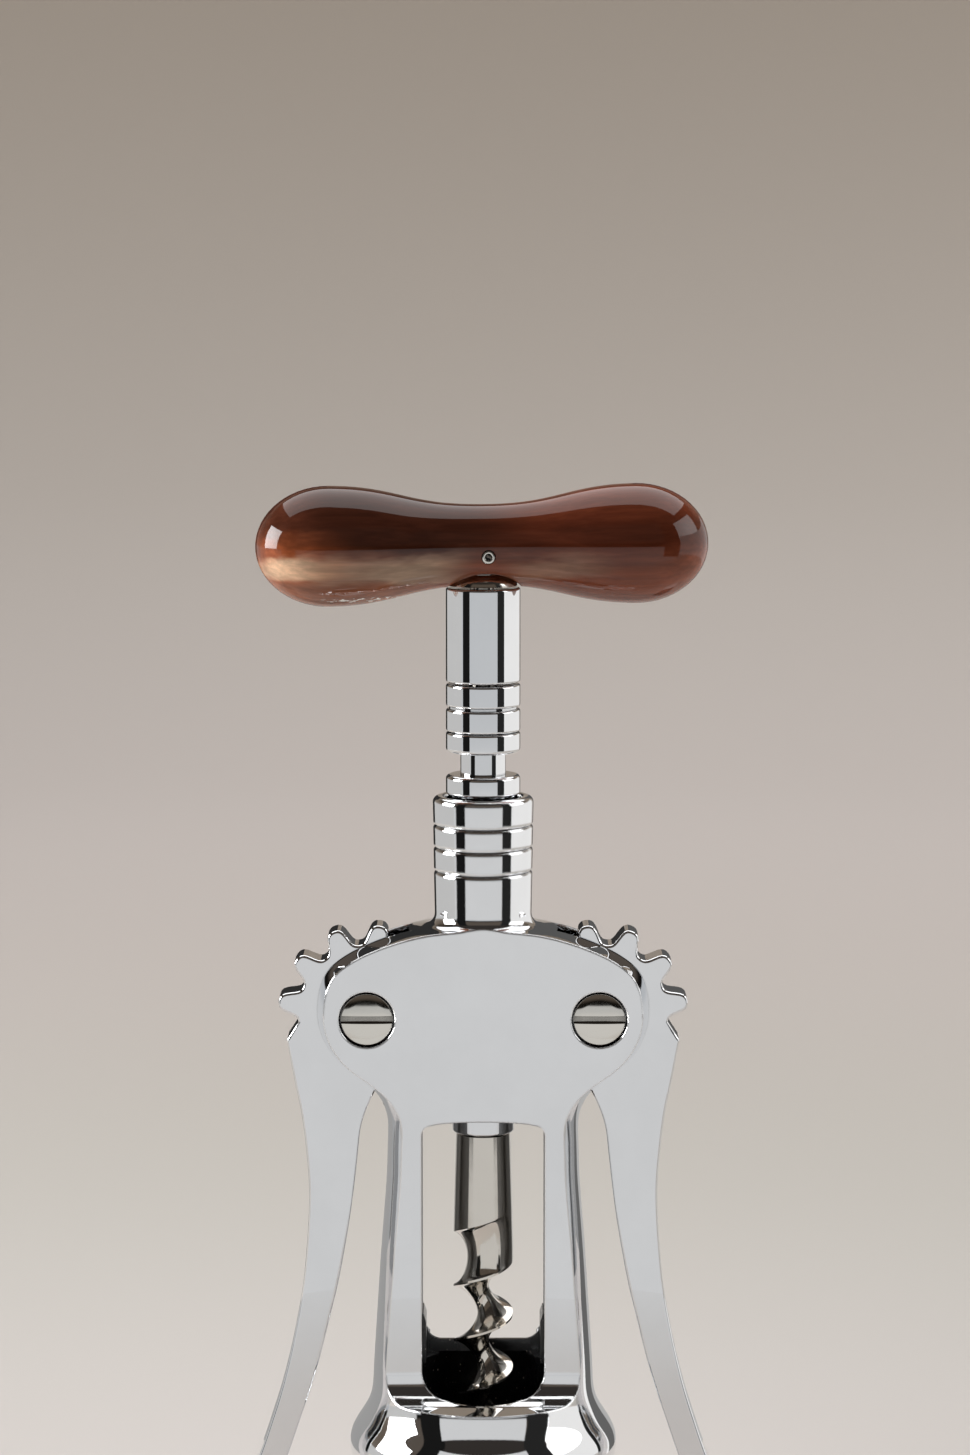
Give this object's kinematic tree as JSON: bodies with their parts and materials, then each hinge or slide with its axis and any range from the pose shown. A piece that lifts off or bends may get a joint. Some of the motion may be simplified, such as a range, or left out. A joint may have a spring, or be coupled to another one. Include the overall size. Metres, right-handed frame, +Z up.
{
  "type": "wing corkscrew",
  "caption": "Wing corkscrew with a dumbbell handle, ring rack, toothed wings on slotted pivots, milled worm and a bell frame with a window.",
  "frame": {"origin": "on the spindle's axis, in the plane of the bell's rim that the part stands on", "axes": "+Z up along the spindle, +X towards the right wing, -Y towards the screw heads"},
  "size_m": [0.087, 0.0432, 0.1864],
  "materials": {
    "chrome": "polished chrome plate",
    "nickel": "bright turned steel",
    "steel": "bright milled steel",
    "horn": "polished horn, red-brown with pale streaks",
    "black_plastic": "moulded black"
  },
  "bodies": {
    "frame": {"frame": "chrome", "bell_liner": "black_plastic", "pivot_screw_left": "nickel", "pivot_screw_right": "nickel"},
    "wing_left": {"wing_left": "chrome"},
    "wing_right": {"wing_right": "chrome"},
    "rack": {"ring_rack": "chrome"},
    "spindle": {"ferrule": "chrome", "stem": "steel", "worm": "steel", "handle": "horn", "handle_pin": "nickel"}
  },
  "joints": [
    {"name": "rack_slide", "type": "slide", "parent": "frame", "child": "rack", "axis": [0, 0, -1], "range_m": [0, 0.02786]},
    {"name": "wing_left_pivot", "type": "hinge", "parent": "frame", "child": "wing_left", "pos_m": [-0.0184, 0, 0.1023], "axis": [0, 1, 0], "range_deg": [0, 120]},
    {"name": "wing_right_pivot", "type": "hinge", "parent": "frame", "child": "wing_right", "pos_m": [0.0184, 0, 0.1023], "axis": [0, -1, 0], "range_deg": [0, 120]},
    {"name": "handle_turn", "type": "hinge", "parent": "rack", "child": "spindle", "pos_m": [0, 0, 0.1], "axis": [0, 0, -1], "continuous": true}
  ],
  "couplings": [
    {"joint": "wing_left_pivot", "follows": "rack_slide", "rad_per_m": 75.188},
    {"joint": "wing_right_pivot", "follows": "rack_slide", "rad_per_m": 75.188}
  ]
}
